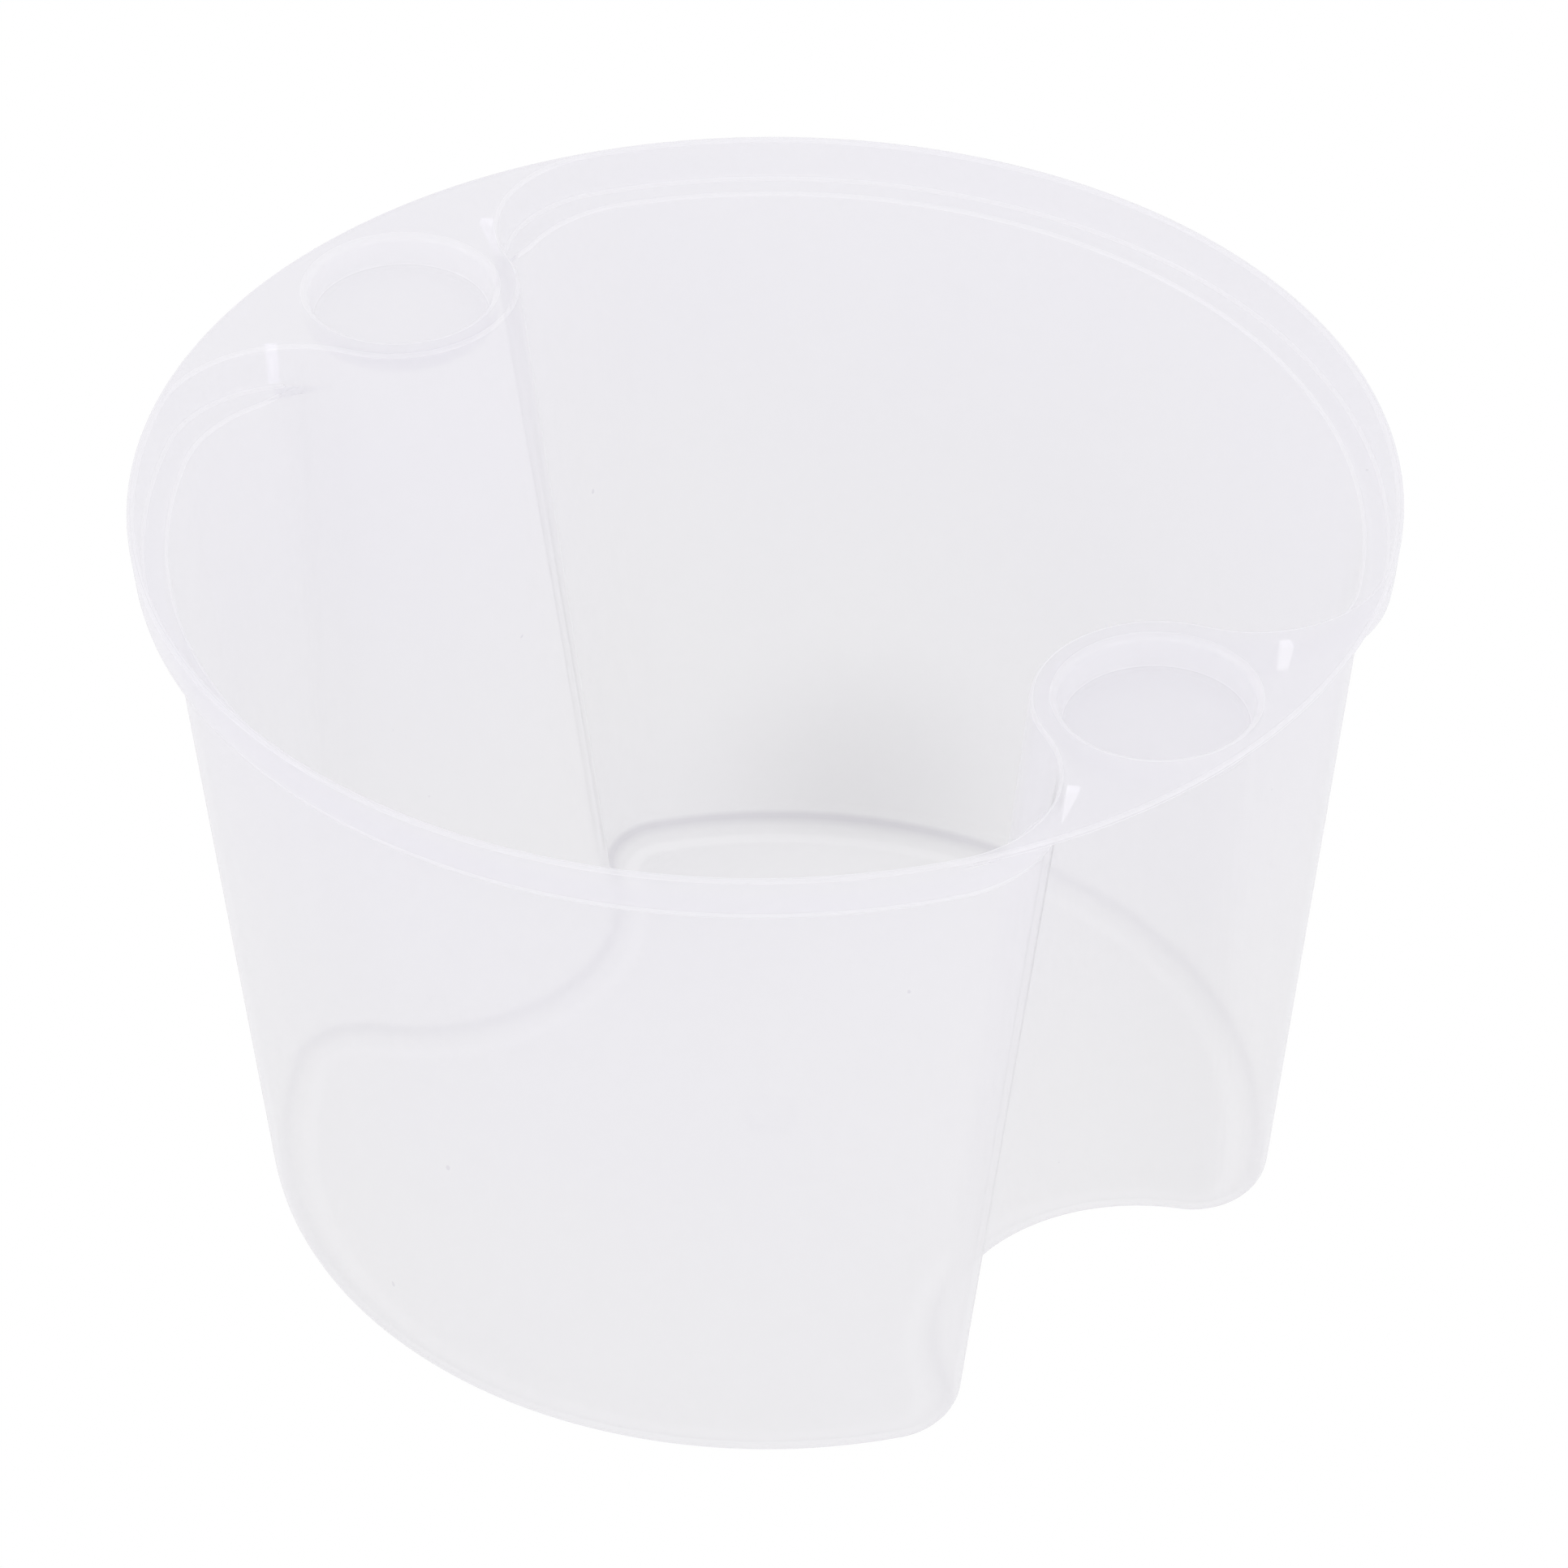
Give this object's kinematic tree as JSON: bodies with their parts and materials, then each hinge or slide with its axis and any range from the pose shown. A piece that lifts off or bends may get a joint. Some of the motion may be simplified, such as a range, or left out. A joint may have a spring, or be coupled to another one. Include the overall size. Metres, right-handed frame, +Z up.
{
  "type": "two-grip tub",
  "caption": "Round open tub of milky translucent plastic with tapered walls, opposite finger pockets under flat shelves with thumb recesses, and a stepped lid seat round the rim.",
  "frame": {"origin": "centre of the plane that the tub stands on", "axes": "+Z up through the mouth, +X and -X through the two grips, -Y towards the front lobe"},
  "size_m": [0.2, 0.2, 0.131],
  "materials": {
    "body": "satin translucent polypropylene",
    "rim": "satin translucent polypropylene",
    "grip": "satin translucent polypropylene",
    "gate": "satin translucent polypropylene"
  },
  "bodies": {
    "root": {"floor_panel": "body", "gate_mark": "gate", "floor_ring": "body", "foot_ring": "body", "front_wall": "body", "back_wall": "body", "left_grip_wall": "body", "right_grip_wall": "body", "left_grip_head": "body", "right_grip_head": "body", "front_lid_seat": "rim", "back_lid_seat": "rim", "left_grip_shelf": "rim", "right_grip_shelf": "rim", "left_thumb_cup": "grip", "right_thumb_cup": "grip", "left_gussets": "grip", "right_gussets": "grip"}
  },
  "joints": []
}
